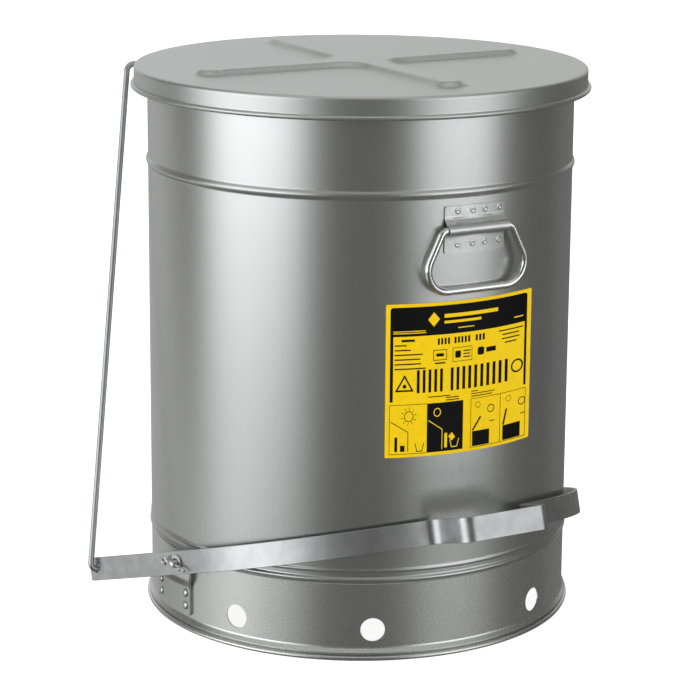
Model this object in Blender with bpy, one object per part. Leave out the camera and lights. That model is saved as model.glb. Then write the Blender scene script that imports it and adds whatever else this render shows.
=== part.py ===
"""Round steel oily-waste can with a foot lever that lifts its hinged lid.

Lengths are in millimetres until a mesh is made, which is in metres. The can stands on the
XY plane with +Z up; its front is -Y, its lid hinge is at +Y. Everything hangs from one empty,
can_axis, that moves the can's centre line so that the middle of the whole object's footprint
falls on the origin: the lever's rear arm and its rod stand out on the left side only. Heights
below are counted from FLOOR_Z under the floor, which that empty takes off again.
"""

from math import acos, asin, atan, atan2, cos, hypot, pi, radians, sin, sqrt, tan

import bmesh
import bpy
from mathutils import Matrix, Vector

MM = 0.001
GAP = 0.3  # between pieces that touch
SEGMENTS = 64  # round the can

# Where the can's centre line stands
CAN_AXIS_X = 14.98
CAN_AXIS_Y = 20.74
FLOOR_Z = 3.6

# Can
BODY_R = 228.5
WALL = 1.2
SEAM_Z = 86.6  # top of the base ring
RIM_Z = 575.5
BEAD_Z = 493.0
BOTTOM_Z = 92.2  # top face of the raised bottom
BOTTOM_FLANGE = 14.0
HEM_R = 233.9
VENT_R = 12.7
VENT_Z = 36.5
VENT_ANGLES = (25.5, 63.2, 116.8, 154.5)  # from the front, on both sides

# Lid
LID_R = 242.7
LID_TOP_Z = 594.0
LID_BEAD_R = 246.5
LID_BEAD_Z = 570.5
CROSS_HEIGHT = 5.0
CROSS_HALF_WIDTH = 10.5
CROSS_SLOPE = 8.0
CROSS_REACH = 180.0
CROSS_FILLET = 34.0

# Hinge
HINGE_Y = 254.0
HINGE_Z = 574.0
LEAF = 1.6
PIN_R = 2.3
KNUCKLE_R = PIN_R + GAP + LEAF / 2  # to the middle of the rolled sheet
HINGE_HALF = 55.0
LID_LEAF_HALF = 29.7

# Lever, rod and their pivots
LEVER_SLOPE = 17.2
LEVER_H = 25.4
LEVER_T = 3.2
END_CHAMFER = 1.5
LEVER_R = BODY_R + 12.0 - LEVER_T / 2
LEVER_CENTRE = {-1: 0.0, 1: 6.0}  # the strap hugs the can on the left and stands off on the right
LEVER_END = (280.4, 98.0)
LEVER_STUB_Y = -17.0  # end of the right arm
ARM_ANGLE = acos(LEVER_R / hypot(*LEVER_END)) - atan2(LEVER_END[1], LEVER_END[0])
PIVOT_Y = -35.0
PIVOT_Z = 80.83
PEDAL_Y = -294.4
PEDAL_X = (-42.5, 54.8)
PEDAL_ROOT_X = (-39.0, 64.0)
ROD_R = 3.2
ROD_FOOT = (-286.3, 87.0, 43.06)
ROD_HOOK = 23.0
ROD_HEAD = (-188.0, 188.0, 581.0)
ROD_TIP_X = -143.0
SLOT_R = 5.4
SLOT_LENGTH = 11.0

# Bracket that holds the lever's pivot
BRACKET_T = 2.5
BRACKET_R = BODY_R + GAP + BRACKET_T / 2
TAB_INSET = 7.3  # from the strap's middle to the tab's, across the can
PIVOT_PIN_R = 3.9
PIVOT_HOLE_R = 4.3
LOOSE_HOLE_R = 4.8
RIVET_R = 2.4
RIVET_HOLE_R = 2.95

# Carrying handles
CLIP_T = 1.6
CLIP_HALF = 35.5
HANDLE_X = {-1: 3.5, 1: 0.0}  # how far each handle sits off the middle
BAIL_R = 4.0
BAIL_Y = BODY_R + 4.9
BAIL_Z = 456.0
BAIL_BOTTOM_Z = 393.7

# Label
LABEL_T = 0.6
LABEL_HALF_ANGLE = 22.2
LABEL_TURN = -0.7
LABEL_Z = (221.5, 382.0)


# ---------------------------------------------------------------- scene and materials


def clear_scene():
    for obj in list(bpy.data.objects):
        bpy.data.objects.remove(obj, do_unlink=True)


def material(name, color, roughness, metallic):
    made = bpy.data.materials.new(name)
    made.use_nodes = True
    shader = made.node_tree.nodes["Principled BSDF"]
    shader.inputs["Base Color"].default_value = (*color, 1.0)
    shader.inputs["Roughness"].default_value = roughness
    shader.inputs["Metallic"].default_value = metallic
    made.diffuse_color = (*color, 1.0)
    return made


def empty(name, place, parent=None, tilt=0.0):
    made = bpy.data.objects.new(name, None)
    made.empty_display_size = 0.03
    made.location = Vector(place) * MM
    made.rotation_euler.x = radians(tilt)
    made.parent = parent
    bpy.context.collection.objects.link(made)
    return made


def add_mesh(name, bm, finish, parent, place=(0, 0, 0)):
    """An object from a bmesh in the parent's millimetres; place is the object's own origin."""
    bmesh.ops.translate(bm, verts=bm.verts, vec=-Vector(place))
    bmesh.ops.scale(bm, verts=bm.verts, vec=(MM, MM, MM))
    bmesh.ops.recalc_face_normals(bm, faces=bm.faces)
    mesh = bpy.data.meshes.new(name)
    bm.to_mesh(mesh)
    bm.free()
    mesh.shade_smooth()
    mesh.set_sharp_from_angle(angle=radians(32))
    obj = bpy.data.objects.new(name, mesh)
    obj.location = Vector(place) * MM
    obj.parent = parent
    bpy.context.collection.objects.link(obj)
    if finish:
        mesh.materials.append(finish)
    return obj


def cut(obj, bm, parent, place=(0, 0, 0)):
    """Takes the bmesh's shape out of the object."""
    cutter = add_mesh("cut_" + obj.name, bm, None, parent, place)
    cutter.hide_render = True
    cutter.display_type = "WIRE"
    modifier = obj.modifiers.new("cut", "BOOLEAN")
    modifier.operation = "DIFFERENCE"
    modifier.solver = "EXACT"
    modifier.object = cutter


# ---------------------------------------------------------------- shape makers


def lathe(bm, profile, segments=SEGMENTS, matrix=None, relief=None):
    """Turns (r, z) points about Z. An open profile starts and ends on the axis."""
    matrix = matrix or Matrix.Identity(4)
    closed = profile[0][0] > 0
    rings = []
    for r, z in profile:
        if r == 0:
            rings.append([bm.verts.new(matrix @ Vector((0, 0, z + (relief(0, 0) if relief else 0))))])
            continue
        ring = []
        for i in range(segments):
            x, y = r * sin(2 * pi * i / segments), -r * cos(2 * pi * i / segments)
            lift = relief(x, y) if relief else 0
            ring.append(bm.verts.new(matrix @ Vector((x, y, z + lift))))
        rings.append(ring)
    pairs = list(zip(rings, rings[1:]))
    if closed:
        pairs.append((rings[-1], rings[0]))
    for a, b in pairs:
        for i in range(segments):
            j = (i + 1) % segments
            if len(a) == 1:
                bm.faces.new((a[0], b[i], b[j]))
            elif len(b) == 1:
                bm.faces.new((a[i], b[0], a[j]))
            else:
                bm.faces.new((a[i], b[i], b[j], a[j]))


def grid_solid(bm, rows):
    """Joins rows of points, each the closed outline of one section, and caps both ends."""
    made = [[bm.verts.new(point) for point in row] for row in rows]
    count = len(made[0])
    for a, b in zip(made, made[1:]):
        for i in range(count):
            j = (i + 1) % count
            bm.faces.new((a[i], a[j], b[j], b[i]))
    bm.faces.new(made[0])
    bm.faces.new(reversed(made[-1]))


def fillet(corners, radii, steps=5):
    """A polyline whose inner corners are rounded by arcs of the given radii."""
    points = [Vector(corners[0])]
    for before, corner, after, radius in zip(corners, corners[1:], corners[2:], radii):
        corner = Vector(corner)
        back, forward = (Vector(before) - corner).normalized(), (Vector(after) - corner).normalized()
        half = acos(max(-1, min(1, back.dot(forward)))) / 2
        if radius == 0 or half > pi / 2 - 0.01:
            points.append(corner)
            continue
        centre = corner + (back + forward).normalized() * (radius / sin(half))
        start = corner + back * (radius / tan(half)) - centre
        end = corner + forward * (radius / tan(half)) - centre
        turn = start.angle(end)
        for k in range(steps + 1):
            share = k / steps
            mix = start * sin((1 - share) * turn) + end * sin(share * turn)
            points.append(centre + mix / sin(turn))
    points.append(Vector(corners[-1]))
    return points


def thicken(path, thickness):
    """The closed outline of a bent sheet from its middle line of (y, z) points."""
    left, right = [], []
    for i, point in enumerate(path):
        before, after = path[max(i - 1, 0)], path[min(i + 1, len(path) - 1)]
        along = Vector((after[0] - before[0], after[1] - before[1])).normalized()
        normal = Vector((-along.y, along.x)) * thickness / 2
        left.append(Vector(point[:2]) + normal)
        right.append(Vector(point[:2]) - normal)
    return left + right[::-1]


def wrapped_sheet(bm, path, thickness, stations, wall_r, side=1):
    """A bent sheet drawn as (y, z, hug) and swept along X. Where hug is 1 it follows a round wall."""
    outline = thicken(path, thickness)
    hugs = [point[2] for point in path]
    hugs += hugs[::-1]
    rows = []
    for x in stations:
        drop = wall_r - sqrt(wall_r**2 - x**2)
        rows.append([(x, side * (p.x - hug * drop), p.y) for p, hug in zip(outline, hugs)])
    grid_solid(bm, rows)


def along_x(x, y, z):
    """Stands a shape turned about Z along X instead, its foot at x."""
    return Matrix.Translation((x, y, z)) @ Matrix.Rotation(pi / 2, 4, "Y")


def radial(angle, r, z):
    """Stands a shape turned about Z out of the can's wall, at an angle from the front."""
    a = radians(angle)
    out = Vector((sin(a), -cos(a), 0))
    return Matrix.Translation(out * r + Vector((0, 0, z))) @ out.to_track_quat("Z", "Y").to_matrix().to_4x4()


def disc(bm, matrix, radius, low, high, segments=16):
    lathe(bm, [(0, low), (radius, low), (radius, high), (0, high)], segments, matrix)


def ring(bm, matrix, hole, radius, low, high, segments=20):
    lathe(bm, [(hole, low), (radius, low), (radius, high), (hole, high)], segments, matrix)


def wire(name, points, radius, finish, parent, place=(0, 0, 0), cyclic=False, sides=2):
    curve = bpy.data.curves.new(name, "CURVE")
    curve.dimensions = "3D"
    curve.bevel_depth = radius * MM
    curve.bevel_resolution = sides
    curve.use_fill_caps = not cyclic
    spline = curve.splines.new("POLY")
    spline.points.add(len(points) - 1)
    for target, point in zip(spline.points, points):
        target.co = (*((Vector(point) - Vector(place)) * MM), 1)
    spline.use_cyclic_u = cyclic
    spline.use_smooth = True
    curve.materials.append(finish)
    obj = bpy.data.objects.new(name, curve)
    obj.location = Vector(place) * MM
    obj.parent = parent
    bpy.context.collection.objects.link(obj)
    return obj


def rivet(name, matrix, grip, finish, parent):
    """A domed rivet whose shank runs inwards from z = 0 of the matrix through the grip."""
    head = [(0, 2.4), (3.0, 1.9), (4.5, GAP)]
    low = -grip - 2 * GAP
    shank = [(RIVET_R, GAP), (RIVET_R, low)]
    tail = [(3.7, low), (3.4, low - 1.4), (0, low - 1.4)]
    bm = bmesh.new()
    lathe(bm, head + shank + tail, 10, matrix)
    add_mesh(name, bm, finish, parent)


# ---------------------------------------------------------------- can


def body_shell(finish, parent):
    outer = [
        (BODY_R, RIM_Z),
        (BODY_R, BEAD_Z + 5),
        (BODY_R + 1.6, BEAD_Z + 3),
        (BODY_R + 2.1, BEAD_Z),
        (BODY_R + 1.6, BEAD_Z - 3),
        (BODY_R, BEAD_Z - 5),
        (BODY_R, SEAM_Z + 16.2),
        (BODY_R + 0.8, SEAM_Z + 14.8),
        (BODY_R + 0.8, SEAM_Z + 13.2),
        (BODY_R + 0.1, SEAM_Z + 11.8),
        (BODY_R + 0.1, SEAM_Z + 7.4),
        (BODY_R + 1.3, SEAM_Z + 6.2),
        (BODY_R + 1.8, SEAM_Z + 3.9),
        (BODY_R + 1.3, SEAM_Z + 1.8),
        (BODY_R, SEAM_Z + 0.8),
        (BODY_R, SEAM_Z + GAP),
    ]
    inner = [(BODY_R - WALL, SEAM_Z + GAP), (BODY_R - WALL, RIM_Z)]
    bm = bmesh.new()
    lathe(bm, outer + inner)
    shell = add_mesh("body_shell", bm, finish, parent)
    holes = bmesh.new()
    for angle in (-HINGE_RIVET_ANGLE, HINGE_RIVET_ANGLE):
        disc(holes, radial(180 + angle, BODY_R, HINGE_RIVET_Z), RIVET_HOLE_R, -6, 6, 8)
    cut(shell, holes, parent)


def raised_bottom(finish, parent):
    out = BODY_R - WALL - GAP
    low = BOTTOM_Z - BOTTOM_FLANGE
    profile = [
        (0, BOTTOM_Z),
        (out - 2.5, BOTTOM_Z),
        (out - 0.7, BOTTOM_Z - 0.7),
        (out, BOTTOM_Z - 2.5),
        (out, low),
        (out - WALL, low),
        (out - WALL, BOTTOM_Z - WALL - 1.6),
        (out - WALL - 1.6, BOTTOM_Z - WALL),
        (0, BOTTOM_Z - WALL),
    ]
    bm = bmesh.new()
    lathe(bm, profile)
    add_mesh("raised_bottom", bm, finish, parent)


def base_ring(finish, parent):
    inner = BODY_R - WALL
    profile = [
        (BODY_R, SEAM_Z),
        (BODY_R, 17.6),
        (229.1, 15.4),
        (231.4, 12.2),
        (231.9, 10.9),
        (231.4, 9.9),
        (232.4, 9.2),
        (233.5, 8.0),
        (HEM_R, 6.3),
        (233.3, 4.6),
        (232.1, FLOOR_Z),
        (230.3, FLOOR_Z),
        (229.2, 4.4),
        (228.8, 6.3),
        (229.9, 11.4),
        (227.9, 15.0),
        (inner, 17.9),
        (inner, SEAM_Z),
    ]
    bm = bmesh.new()
    lathe(bm, profile)
    base = add_mesh("base_ring", bm, finish, parent)
    holes = bmesh.new()
    for angle in VENT_ANGLES:
        for side in (-1, 1):
            disc(holes, radial(side * angle, BODY_R, VENT_Z), VENT_R, -12, 12, 16)
    for side in (-1, 1):
        for angle, z in BRACKET_RIVETS:
            disc(holes, radial(side * angle, BODY_R, z), RIVET_HOLE_R, -6, 6, 8)
    cut(base, holes, parent)


def label_plate(finish, parent):
    inner = BODY_R + GAP
    rows = []
    steps = 12
    for i in range(steps + 1):
        a = radians(LABEL_TURN + LABEL_HALF_ANGLE * (2 * i / steps - 1))
        outline = [(inner, LABEL_Z[0]), (inner + LABEL_T, LABEL_Z[0]), (inner + LABEL_T, LABEL_Z[1])]
        outline.append((inner, LABEL_Z[1]))
        rows.append([(r * sin(a), -r * cos(a), z) for r, z in outline])
    bm = bmesh.new()
    grid_solid(bm, rows)
    add_mesh("label_plate", bm, finish, parent)


# ---------------------------------------------------------------- lid and hinge

HINGE_RIVET_ANGLE = 5.5
HINGE_RIVET_Z = 529.0
LEAF_RIVET_ANGLE = 4.7
LEAF_RIVET_Z = 586.0


def cross_relief(x, y):
    """Height of the pressed cross: two crossing ribs with sloping sides and filleted corners."""
    a = hypot(max(abs(x) - CROSS_REACH, 0), y)
    b = hypot(max(abs(y) - CROSS_REACH, 0), x)
    blend = max(CROSS_FILLET - abs(a - b), 0) / CROSS_FILLET
    distance = min(a, b) - blend**2 * CROSS_FILLET / 4
    share = (distance - CROSS_HALF_WIDTH) / CROSS_SLOPE
    share = max(0.0, min(1.0, share))
    return CROSS_HEIGHT * (1 - share * share * (3 - 2 * share))


def lid(finish, parent):
    sheet = WALL
    radii = (0, 14, 32, 58, 98, 150, 176, 187, 199)
    top = [(r, LID_TOP_Z) for r in radii]
    rolled = [
        (LID_R - 5, LID_TOP_Z),
        (LID_R - 1.5, LID_TOP_Z - 1.5),
        (LID_R, LID_TOP_Z - 5),
        (LID_R, LID_BEAD_Z + 6.3),
        (244.8, LID_BEAD_Z + 5.0),
        (246.3, LID_BEAD_Z + 3.4),
        (LID_BEAD_R, LID_BEAD_Z + 2.2),
        (245.7, LID_BEAD_Z + 0.6),
        (244.0, LID_BEAD_Z),
        (242.3, LID_BEAD_Z + 0.6),
        (LID_R - sheet, LID_BEAD_Z + 2.2),
        (LID_R - sheet, LID_TOP_Z - 5.4),
        (LID_R - sheet - 1.2, LID_TOP_Z - 2.6),
        (LID_R - 5.4, LID_TOP_Z - sheet),
    ]
    under = [(r, LID_TOP_Z - sheet) for r in reversed(radii)]
    bm = bmesh.new()
    lathe(bm, top + rolled + under, SEGMENTS, None, cross_relief)
    place = (0, HINGE_Y, HINGE_Z)
    cover = add_mesh("lid", bm, finish, parent["lid"], place)
    cover.location = (0, 0, 0)
    holes = bmesh.new()
    slot_cutter(holes)
    for angle in (-LEAF_RIVET_ANGLE, LEAF_RIVET_ANGLE):
        disc(holes, radial(180 + angle, LID_R, LEAF_RIVET_Z), RIVET_HOLE_R, -6, 6, 8)
    cut(cover, holes, parent["can"])


def slot_cutter(bm):
    """A stadium along X: the rod's head hooks through the skirt with play towards the hinge."""
    y, z = ROD_HEAD[1:]
    outline = []
    for centre, start in ((y + SLOT_LENGTH, -90), (y, 90)):
        for k in range(9):
            a = radians(start + 180 * k / 8)
            outline.append((centre + SLOT_R * cos(a), z + SLOT_R * sin(a)))
    grid_solid(bm, [[(x, *point) for point in outline] for x in (-180, -120)])


def knuckle(start, end, steps=10):
    """Points of the rolled sheet round the hinge pin, from one angle to the other."""
    turns = [radians(start + (end - start) * k / steps) for k in range(steps + 1)]
    return [(HINGE_Y + KNUCKLE_R * cos(a), HINGE_Z + KNUCKLE_R * sin(a), 0) for a in turns]


def hinge(finish, parent):
    wall = BODY_R + GAP + LEAF / 2
    arm_y = HINGE_Y + KNUCKLE_R
    flange = [(wall, 514, 1), (wall, 536, 1), (wall, 542, 1), (arm_y, 564, 0.1)]
    stations = [-HINGE_HALF + 2 * HINGE_HALF * i / 8 for i in range(9)]
    bm = bmesh.new()
    wrapped_sheet(bm, flange + knuckle(0, 285), LEAF, stations, BODY_R)
    bracket = add_mesh("body_hinge_bracket", bm, finish, parent["can"])
    notch = bmesh.new()
    half = LID_LEAF_HALF + GAP
    corners = ((HINGE_Y - 12, 558), (HINGE_Y + 12, 558), (HINGE_Y + 12, 590), (HINGE_Y - 12, 590))
    grid_solid(notch, [[(x, *corner) for corner in corners] for x in (-half, half)])
    for angle in (-HINGE_RIVET_ANGLE, HINGE_RIVET_ANGLE):
        disc(notch, radial(180 + angle, BODY_R, HINGE_RIVET_Z), RIVET_HOLE_R, -6, 9, 8)
    cut(bracket, notch, parent["can"])

    skirt = LID_R + GAP + LEAF / 2
    leaf = [(skirt, 591.2, 1), (skirt, 584.0, 1), (skirt, 581.2, 1), (249.2, HINGE_Z + KNUCKLE_R, 0)]
    stations = [-LID_LEAF_HALF + 2 * LID_LEAF_HALF * i / 6 for i in range(7)]
    bm = bmesh.new()
    wrapped_sheet(bm, leaf + knuckle(90, -190), LEAF, stations, LID_R)
    place = (0, HINGE_Y, HINGE_Z)
    hinge_leaf = add_mesh("lid_hinge_leaf", bm, finish, parent["lid"], place)
    hinge_leaf.location = (0, 0, 0)
    holes = bmesh.new()
    for angle in (-LEAF_RIVET_ANGLE, LEAF_RIVET_ANGLE):
        disc(holes, radial(180 + angle, LID_R, LEAF_RIVET_Z), RIVET_HOLE_R, -6, 9, 8)
    cut(hinge_leaf, holes, parent["can"])

    half, head = HINGE_HALF + GAP, HINGE_HALF + 2.3
    profile = [(0, -head), (3.2, -head), (3.4, -half), (PIN_R, -half)]
    profile += [(PIN_R, half), (3.4, half), (3.2, head), (0, head)]
    bm = bmesh.new()
    lathe(bm, profile, 16, along_x(0, HINGE_Y, HINGE_Z))
    add_mesh("hinge_pin", bm, finish, parent["can"], place)

    for name, side in (("left", 1), ("right", -1)):
        seat = radial(180 + side * HINGE_RIVET_ANGLE, BODY_R + GAP + LEAF, HINGE_RIVET_Z)
        rivet(f"body_hinge_rivet_{name}", seat, LEAF + GAP + WALL, finish, parent["can"])
        seat = radial(180 + side * LEAF_RIVET_ANGLE, LID_R + GAP + LEAF, LEAF_RIVET_Z)
        seat = Matrix.Translation((0, -HINGE_Y, -HINGE_Z)) @ seat
        rivet(f"lid_hinge_rivet_{name}", seat, LEAF + GAP + WALL, finish, parent["lid"])


# ---------------------------------------------------------------- handles


def handle(name, side, finish, bright, parent, swing):
    """side is -1 at the front and 1 at the back."""
    wall = BODY_R + GAP + CLIP_T / 2
    roll = BAIL_R + GAP + 0.1 + CLIP_T / 2
    turns = [radians(43 - 161 * k / 7) for k in range(8)]
    front = [(BAIL_Y + roll * cos(a), BAIL_Z + roll * sin(a), 0) for a in turns]
    upper = [(wall, 480, 1), (wall, 468.4, 1), (wall + 0.3, 467, 0.95)]
    lower = [(wall, 448.4, 0.9), (wall, 446, 1), (wall, 431.5, 1)]
    middle = HANDLE_X[side]
    stations = [middle - CLIP_HALF + 2 * CLIP_HALF * i / 6 for i in range(7)]
    bm = bmesh.new()
    wrapped_sheet(bm, upper + front + lower, CLIP_T, stations, BODY_R, side)
    add_mesh(f"{name}_handle_clip", bm, finish, parent)

    corner_x = 71.0
    corners = [(0, BAIL_Z), (40.5, BAIL_Z), (corner_x, BAIL_BOTTOM_Z), (-corner_x, BAIL_BOTTOM_Z)]
    corners += [(-40.5, BAIL_Z), (0, BAIL_Z)]
    loop = fillet([(middle + x, side * BAIL_Y, z) for x, z in corners], (7, 23, 23, 7), 5)[:-1]
    place = (0, side * BAIL_Y, BAIL_Z)
    bail = wire(f"{name}_bail", loop, BAIL_R, bright, swing, place, cyclic=True)
    bail.location = (0, 0, 0)


# ---------------------------------------------------------------- lever, brackets and rod

BRACKET_RIVETS = ((81.9, 30.6), (81.9, 44.6), (95.9, 30.6), (95.9, 44.6))


def strap_x(side, y):
    """X of the strap's middle line along the straight arm that leaves the round part."""
    out = LEVER_R * cos(ARM_ANGLE) + (y + LEVER_R * sin(ARM_ANGLE)) * tan(ARM_ANGLE)
    return side * out + LEVER_CENTRE[side]


def pivot_axis(side):
    """The pin's own line: square to the strap's arm, from the strap's middle outwards."""
    out = Vector((side * cos(ARM_ANGLE), -sin(ARM_ANGLE), 0))
    foot = Vector((strap_x(side, PIVOT_Y), PIVOT_Y, PIVOT_Z))
    return Matrix.Translation(foot) @ out.to_track_quat("Z", "Y").to_matrix().to_4x4()


def strap_axis(side):
    """The same line in the lever's own frame, whose Y runs along the sloping strap."""
    turn = atan(tan(ARM_ANGLE) * cos(radians(LEVER_SLOPE)))
    out = Vector((side * cos(turn), -sin(turn), 0))
    foot = Vector((strap_x(side, PIVOT_Y), 0, 0))
    return Matrix.Translation(foot) @ out.to_track_quat("Z", "Y").to_matrix().to_4x4()


def lever_path():
    """The strap's middle line in plan, from the rod's end round the front to the right pivot."""
    steps = 14
    halves = []
    for side, root_x in zip((-1, 1), PEDAL_ROOT_X):
        centre = LEVER_CENTRE[side]
        root = asin(abs(root_x - centre) / LEVER_R)
        start, end = root + radians(4.4), pi / 2 - ARM_ANGLE
        arc = [(root_x, -LEVER_R * cos(root))]
        for k in range(steps + 1):
            a = start + (end - start) * k / steps
            arc.append((centre + side * LEVER_R * sin(a), -LEVER_R * cos(a)))
        halves.append(arc)
    left, right = halves
    corners = [(-LEVER_END[0], LEVER_END[1]), *reversed(left)]
    corners += [(x, PEDAL_Y) for x in PEDAL_X]
    corners += [*right, (strap_x(1, LEVER_STUB_Y), LEVER_STUB_Y)]
    bends = [0] * (steps + 1) + [15, 13, 8, 12] + [0] * (steps + 1)
    tilt = cos(radians(LEVER_SLOPE))
    return fillet([(x, (y - PIVOT_Y) / tilt) for x, y in corners], bends, 4)


def foot_lever(finish, pivot):
    path = lever_path()
    path.insert(1, path[0] + (path[1] - path[0]).normalized() * END_CHAMFER)
    path.insert(-1, path[-1] + (path[-2] - path[-1]).normalized() * END_CHAMFER)
    rows = []
    for i, point in enumerate(path):
        before, after = path[max(i - 1, 0)], path[min(i + 1, len(path) - 1)]
        along = (after - before).normalized()
        across = Vector((-along.y, along.x)) * LEVER_T / 2
        high = LEVER_H / 2
        if i in (0, len(path) - 1):
            high -= END_CHAMFER
        corners = ((-1, -1), (1, -1), (1, 1), (-1, 1))
        rows.append([(*(point + across * s), high * h) for s, h in corners])
    bm = bmesh.new()
    grid_solid(bm, rows)
    lever = add_mesh("foot_lever", bm, finish, pivot)
    holes = bmesh.new()
    for side in (-1, 1):
        disc(holes, strap_axis(side), LOOSE_HOLE_R, -8, 8)
    reach = (ROD_FOOT[1] - PIVOT_Y) / cos(radians(LEVER_SLOPE))
    disc(holes, along_x(ROD_FOOT[0], reach, 0), ROD_R + 1.1, -4, 22, 12)
    cut(lever, holes, pivot)


def pivot_bracket(name, side, finish, parent):
    """A riveted plate that hugs the base ring below and stands out above to carry the pin."""
    rows_z = (20, 35, 50, 54, 58, 63, 70, 81, 94)
    columns = 8
    bm = bmesh.new()
    sheets = []
    for z in rows_z:
        rise = max(0.0, min(1.0, (z - 50) / 14))
        rise = rise * rise * (3 - 2 * rise)
        low = -40 * (1 - rise) + (PIVOT_Y - 9) * rise
        high = 37 * (1 - rise) + (PIVOT_Y + 16) * rise
        inner, outer = [], []
        for c in range(columns + 1):
            y = low + (high - low) * c / columns
            for half, row in ((-BRACKET_T / 2, inner), (BRACKET_T / 2, outer)):
                r = BRACKET_R + half
                tab = abs(strap_x(side, y)) - TAB_INSET + half / cos(ARM_ANGLE)
                x = sqrt(r * r - y * y) * (1 - rise) + tab * rise
                row.append((side * x, y, z))
        sheets.append(outer + inner[::-1])
    grid_solid(bm, sheets)
    bracket = add_mesh(f"{name}_pivot_bracket", bm, finish, parent)
    holes = bmesh.new()
    disc(holes, pivot_axis(side), PIVOT_HOLE_R, -14, -2)
    for angle, z in BRACKET_RIVETS:
        disc(holes, radial(side * angle, BRACKET_R, z), RIVET_HOLE_R, -5, 5, 8)
    cut(bracket, holes, parent)
    for place, (angle, z) in zip(("front_low", "front_high", "rear_low", "rear_high"), BRACKET_RIVETS):
        seat = radial(side * angle, BRACKET_R + BRACKET_T / 2, z)
        rivet(f"{name}_rivet_{place}", seat, BRACKET_T + GAP + WALL, finish, parent)


def pivot_hardware(name, side, finish, parent, pivot):
    """Pin, washers and cotter, laid out along the pin's own line from the strap's middle."""
    turn = pivot_axis(side)
    tab_in = -TAB_INSET * cos(ARM_ANGLE) - BRACKET_T / 2
    end = 10.6
    cotter = 6.9
    place = turn.translation

    head = [(0, tab_in - 3.2), (5.4, tab_in - 3.2), (6.2, tab_in - 2.4), (6.2, tab_in - GAP)]
    shank = [(PIVOT_PIN_R, tab_in - GAP), (PIVOT_PIN_R, end - 0.8), (PIVOT_PIN_R - 0.8, end), (0, end)]
    bm = bmesh.new()
    lathe(bm, head + shank, 20, turn)
    pin = add_mesh(f"{name}_pivot_pin", bm, finish, parent, place)
    hole = bmesh.new()
    lean = Matrix.Rotation(-side * ARM_ANGLE, 4, "Z") @ Matrix.Rotation(radians(COTTER_LEAN), 4, "X")
    middle = Matrix.Translation(turn @ Vector((0, 0, cotter))) @ lean
    disc(hole, middle @ Matrix.Rotation(pi / 2, 4, "X"), 1.9, -8, 8, 12)
    cut(pin, hole, parent, place)

    half = LEVER_T / 2 + GAP
    for label, radius, low, high in (("inner", 8.0, -half - 2.5, -half), ("outer", 9.0, half, half + 1.6)):
        bm = bmesh.new()
        ring(bm, strap_axis(side), LOOSE_HOLE_R, radius, low, high)
        add_mesh(f"{name}_{label}_washer", bm, finish, pivot)

    eye = 3.6
    loop = []
    for k in range(9):
        a = radians(-142 - 283 * k / 8)
        loop.append((0, 9.5 + eye + eye * sin(a), eye * cos(a)))
    legs = [(0, 7.6, 0), (0, -9.0, 0), (side * 0.6, -14.0, -0.8), (side * 1.0, -19.0, -2.0)]
    corners = [middle @ Vector(point) for point in loop + legs]
    points = fillet(corners, [0] * len(loop) + [1, 3, 3], 3)
    wire(f"{name}_cotter_pin", points, 1.4, finish, parent, sides=1)


COTTER_LEAN = 4.0


def lift_rod(finish, pivot):
    corners = [(ROD_FOOT[0] + ROD_HOOK, *ROD_FOOT[1:]), ROD_FOOT, ROD_HEAD, (ROD_TIP_X, *ROD_HEAD[1:])]
    wire("lift_rod", fillet(corners, (7, 9), 6), ROD_R, finish, pivot, ROD_FOOT).location = (0, 0, 0)


def rod_retainer(finish, pivot):
    """The push-on cap that keeps the rod's foot in the lever."""
    x = ROD_FOOT[0] + ROD_HOOK - 9.0
    y, z = ROD_FOOT[1:]
    inner = ROD_R + GAP
    profile = [(inner, 0), (6.4, 0), (7.0, 0.6), (6.2, 1.8), (inner, 2.4)]
    bm = bmesh.new()
    lathe(bm, profile, 16, along_x(x, y, z))
    add_mesh("rod_retainer", bm, finish, pivot, ROD_FOOT).location = (0, 0, 0)


# ---------------------------------------------------------------- the object


def build():
    clear_scene()
    painted = material("silver_paint", (0.56, 0.57, 0.56), 0.36, 0.75)
    zinc = material("zinc_steel", (0.66, 0.66, 0.64), 0.28, 0.95)
    bright = material("polished_wire", (0.78, 0.78, 0.76), 0.18, 1.0)
    strap = material("galvanised_strap", (0.60, 0.61, 0.60), 0.38, 0.85)
    label = material("label_yellow", (0.90, 0.66, 0.02), 0.42, 0.0)

    can = empty("can_axis", (CAN_AXIS_X, CAN_AXIS_Y, -FLOOR_Z))
    lid_pivot = empty("lid_pivot", (0, HINGE_Y, HINGE_Z), can)
    lever_pivot = empty("lever_pivot", (0, PIVOT_Y, PIVOT_Z), can, -LEVER_SLOPE)
    rod_pivot = empty("rod_pivot", ROD_FOOT, can)
    frames = {"can": can, "lid": lid_pivot}

    body_shell(painted, can)
    raised_bottom(painted, can)
    base_ring(painted, can)
    label_plate(label, can)
    lid(painted, frames)
    hinge(zinc, frames)
    for name, side in (("front", -1), ("rear", 1)):
        swing = empty(f"{name}_bail_pivot", (0, side * BAIL_Y, BAIL_Z), can)
        handle(name, side, painted, bright, can, swing)
    foot_lever(strap, lever_pivot)
    for name, side in (("left", -1), ("right", 1)):
        pivot_bracket(name, side, painted, can)
        pivot_hardware(name, side, zinc, can, lever_pivot)
    lift_rod(bright, rod_pivot)
    rod_retainer(zinc, rod_pivot)


build()
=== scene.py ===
"""Looks of the foot-operated oily-waste can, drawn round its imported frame.

Shapes are given in millimetres from the can's own centre line and are moved to the frame's
metres when a mesh is made, so every object sits at the origin and Object texture coordinates
are real lengths.
"""

from math import acos, asin, atan, atan2, cos, degrees, hypot, pi, radians, sin, sqrt, tan

import bmesh
import bpy
from mathutils import Matrix, Vector

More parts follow.
